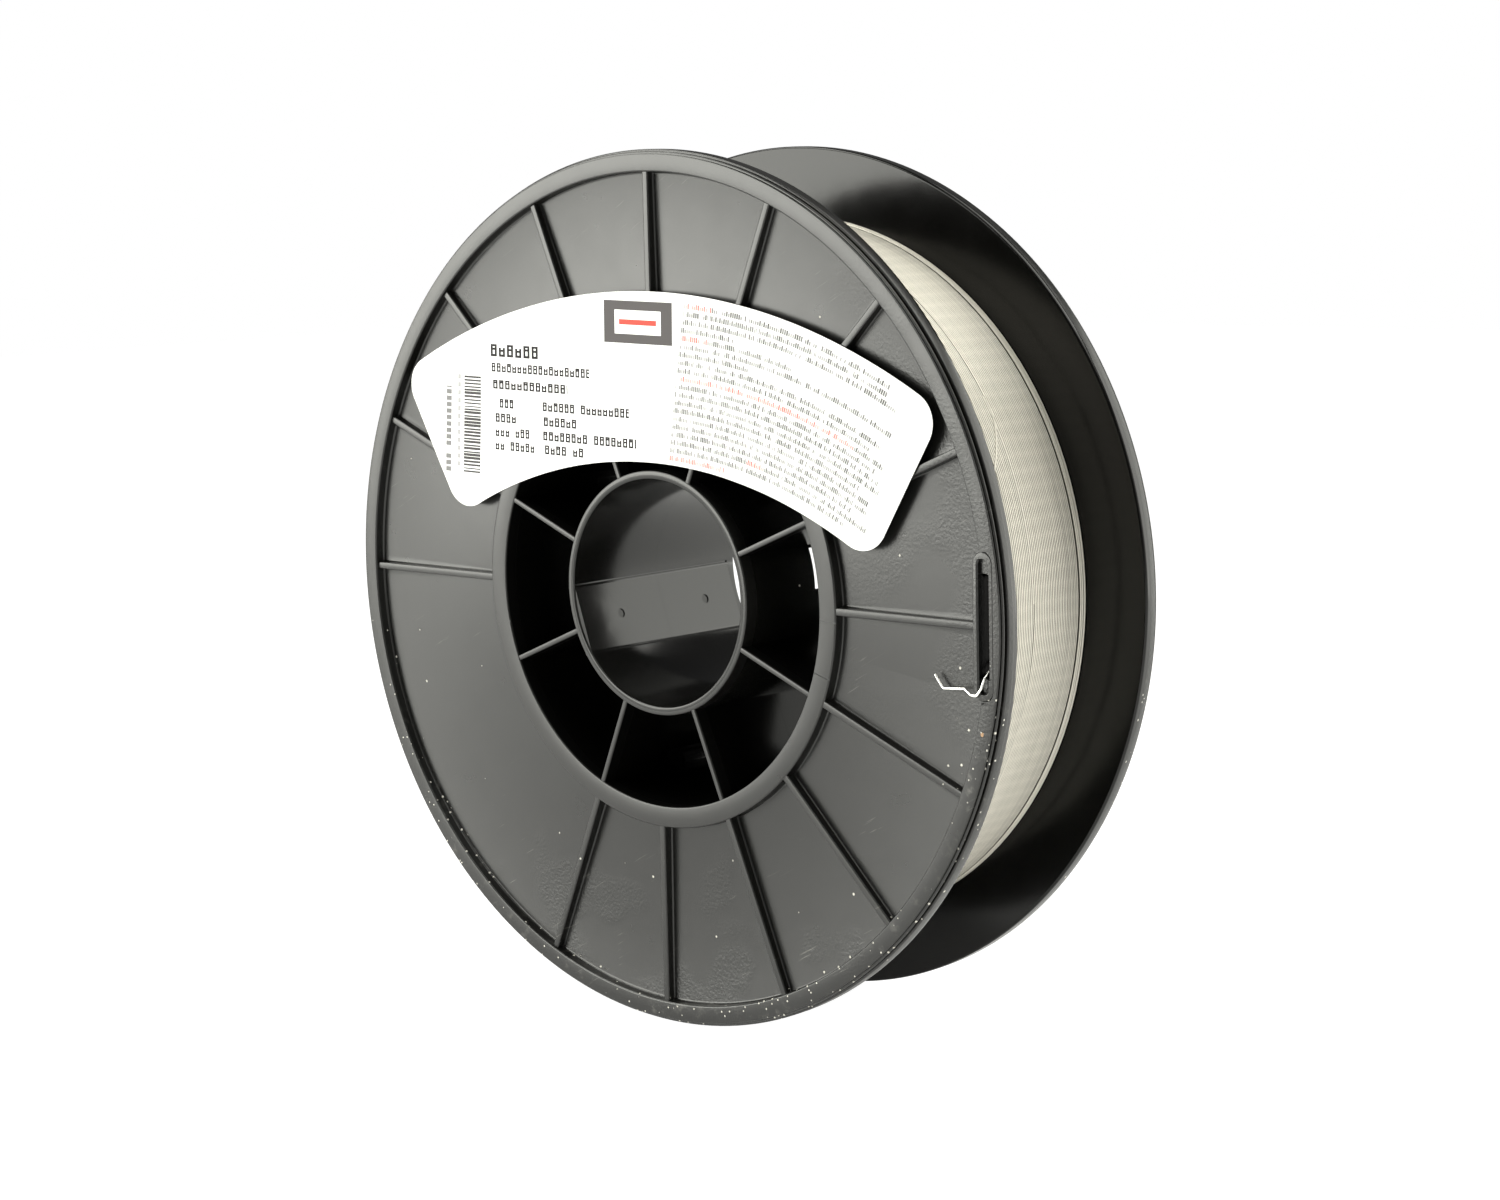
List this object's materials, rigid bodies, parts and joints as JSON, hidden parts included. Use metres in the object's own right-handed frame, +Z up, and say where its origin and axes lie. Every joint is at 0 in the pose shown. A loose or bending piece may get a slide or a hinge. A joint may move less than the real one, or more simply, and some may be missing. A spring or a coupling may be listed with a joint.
{
  "type": "welding wire spool",
  "caption": "Black moulded plastic spool with ribbed flanges and a cored hub, wound with fine bright steel welding wire, with a curved paper label and a slot for the wire's end.",
  "frame": {"origin": "middle of the bore, on the spool's axis halfway between the flanges", "axes": "+Y along the spool's axis from the labelled face towards the rear face, +Z up, +X towards the slot that holds the wire's end"},
  "size_m": [0.1998, 0.0562, 0.1998],
  "materials": {
    "black_plastic": "moulded black plastic, smooth, with a soft gloss, a few scuffs and dust specks",
    "steel_winding": "fine stainless wire laid turn beside turn",
    "steel_wire": "bright drawn stainless wire",
    "label_paper": "white semi-gloss paper with grey print"
  },
  "bodies": {
    "root": {"front_half": "black_plastic", "rear_half": "black_plastic", "wire_winding": "steel_winding", "wire_end": "steel_wire", "label": "label_paper"}
  },
  "joints": []
}
